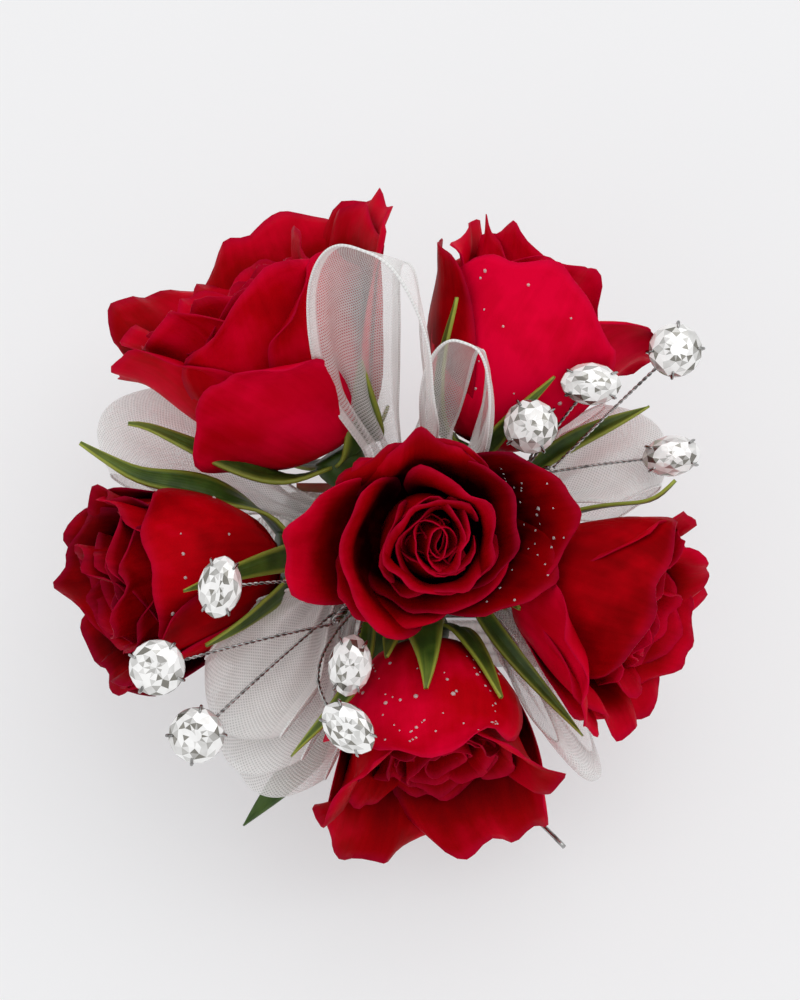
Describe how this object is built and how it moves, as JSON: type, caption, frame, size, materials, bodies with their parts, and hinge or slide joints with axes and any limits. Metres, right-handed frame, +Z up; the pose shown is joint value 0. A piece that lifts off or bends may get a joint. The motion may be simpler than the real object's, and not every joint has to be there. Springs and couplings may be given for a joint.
{
  "type": "wrist corsage",
  "caption": "Wrist corsage: red spray roses with sheer ribbon loops and wired rhinestone sprays, clipped to a white elastic wristlet.",
  "frame": {"origin": "middle of the underside of the elastic band, where the corsage rests on a table", "axes": "+Z up through the flowers, +Y along the wrist from the lower roses to the upper ones, +X to the right as pictured"},
  "size_m": [0.0963, 0.0983, 0.0909],
  "materials": {
    "petal_red": "velvety petal",
    "petal_deep": "velvety petal, deep red",
    "leaf_green": "waxy leaf",
    "floral_tape": "matt wound tape",
    "organza_white": "sheer woven organza",
    "elastic_white": "knitted elastic",
    "plate_metal": "satin",
    "silver_wire": "bright twisted wire",
    "rhinestone": "cut crystal, foiled back"
  },
  "bodies": {
    "corsage": {"elastic_left": "elastic_white", "elastic_right": "elastic_white", "clip_plate": "plate_metal", "stem_spine": "floral_tape", "rose_centre_petals": "petal_red", "rose_centre_heart": "petal_deep", "rose_centre_calyx": "leaf_green", "rose_top_left_petals": "petal_red", "rose_top_left_heart": "petal_deep", "rose_top_left_calyx": "leaf_green", "rose_top_right_petals": "petal_red", "rose_top_right_heart": "petal_deep", "rose_top_right_calyx": "leaf_green", "rose_left_petals": "petal_red", "rose_left_heart": "petal_deep", "rose_left_calyx": "leaf_green", "rose_right_petals": "petal_red", "rose_right_heart": "petal_deep", "rose_right_calyx": "leaf_green", "rose_bottom_petals": "petal_red", "rose_bottom_heart": "petal_deep", "rose_bottom_calyx": "leaf_green", "ribbon_tall": "organza_white", "ribbon_short": "organza_white", "ribbon_left": "organza_white", "ribbon_right": "organza_white", "ribbon_front_upper": "organza_white", "ribbon_front_middle": "organza_white", "ribbon_front_lower": "organza_white", "ribbon_front_right": "organza_white", "spray_left_stem": "silver_wire", "spray_right_stem": "silver_wire", "leaf_front": "leaf_green", "blade_front_left": "leaf_green", "blade_front_right": "leaf_green", "blade_right": "leaf_green", "binding_wire": "silver_wire"},
    "band_lower": {"elastic_lower": "elastic_white"},
    "spray_left_bloom_1": {"spray_left_branch_1": "silver_wire", "spray_left_stone_1": "rhinestone"},
    "spray_left_bloom_2": {"spray_left_branch_2": "silver_wire", "spray_left_stone_2": "rhinestone"},
    "spray_left_bloom_3": {"spray_left_branch_3": "silver_wire", "spray_left_stone_3": "rhinestone"},
    "spray_left_bloom_4": {"spray_left_branch_4": "silver_wire", "spray_left_stone_4": "rhinestone"},
    "spray_left_bloom_5": {"spray_left_branch_5": "silver_wire", "spray_left_stone_5": "rhinestone"},
    "spray_right_bloom_1": {"spray_right_branch_1": "silver_wire", "spray_right_stone_1": "rhinestone"},
    "spray_right_bloom_2": {"spray_right_branch_2": "silver_wire", "spray_right_stone_2": "rhinestone"},
    "spray_right_bloom_3": {"spray_right_branch_3": "silver_wire", "spray_right_stone_3": "rhinestone"},
    "spray_right_bloom_4": {"spray_right_branch_4": "silver_wire", "spray_right_stone_4": "rhinestone"}
  },
  "joints": [
    {"name": "band_stretch", "type": "slide", "parent": "corsage", "child": "band_lower", "axis": [0, 0, -1], "range_m": [0, 0.02], "stiffness_N_per_m": 100, "deforming": ["elastic_left", "elastic_right"]},
    {"name": "spray_left_bend_1", "type": "hinge", "parent": "corsage", "child": "spray_left_bloom_1", "pos_m": [-0.01182, -0.01709, 0.04174], "axis": [-0.404, 0.9148, 0], "range_deg": [0, 20]},
    {"name": "spray_left_bend_2", "type": "hinge", "parent": "corsage", "child": "spray_left_bloom_2", "pos_m": [-0.01164, -0.01466, 0.04022], "axis": [0.1527, 0.1692, 0.9737], "range_deg": [0, 20]},
    {"name": "spray_left_bend_3", "type": "hinge", "parent": "corsage", "child": "spray_left_bloom_3", "pos_m": [-0.00856, -0.00967, 0.04057], "axis": [-0.3711, 0.9286, 0], "range_deg": [-5, 15]},
    {"name": "spray_left_bend_4", "type": "hinge", "parent": "corsage", "child": "spray_left_bloom_4", "pos_m": [-0.00617, -0.01106, 0.04037], "axis": [0.0941, 0.5139, 0.8527], "range_deg": [0, 12]},
    {"name": "spray_left_bend_5", "type": "hinge", "parent": "corsage", "child": "spray_left_bloom_5", "pos_m": [-0.00817, -0.01436, 0.04115], "axis": [-0.9992, 0.0412, 0], "range_deg": [0, 25]},
    {"name": "spray_right_bend_1", "type": "hinge", "parent": "corsage", "child": "spray_right_bloom_1", "pos_m": [0.02105, 0.00781, 0.04191], "axis": [0.6303, -0.7764, 0], "range_deg": [0, 25]},
    {"name": "spray_right_bend_2", "type": "hinge", "parent": "corsage", "child": "spray_right_bloom_2", "pos_m": [0.01729, 0.0084, 0.04164], "axis": [0.5933, 0.4785, -0.6473], "range_deg": [0, 25]},
    {"name": "spray_right_bend_3", "type": "hinge", "parent": "corsage", "child": "spray_right_bloom_3", "pos_m": [0.01948, 0.00775, 0.03972], "axis": [0.1732, -0.9849, 0], "range_deg": [0, 25]},
    {"name": "spray_right_bend_4", "type": "hinge", "parent": "corsage", "child": "spray_right_bloom_4", "pos_m": [0.01494, 0.00755, 0.04112], "axis": [0.6619, 0.6882, -0.2969], "range_deg": [0, 25]}
  ]
}
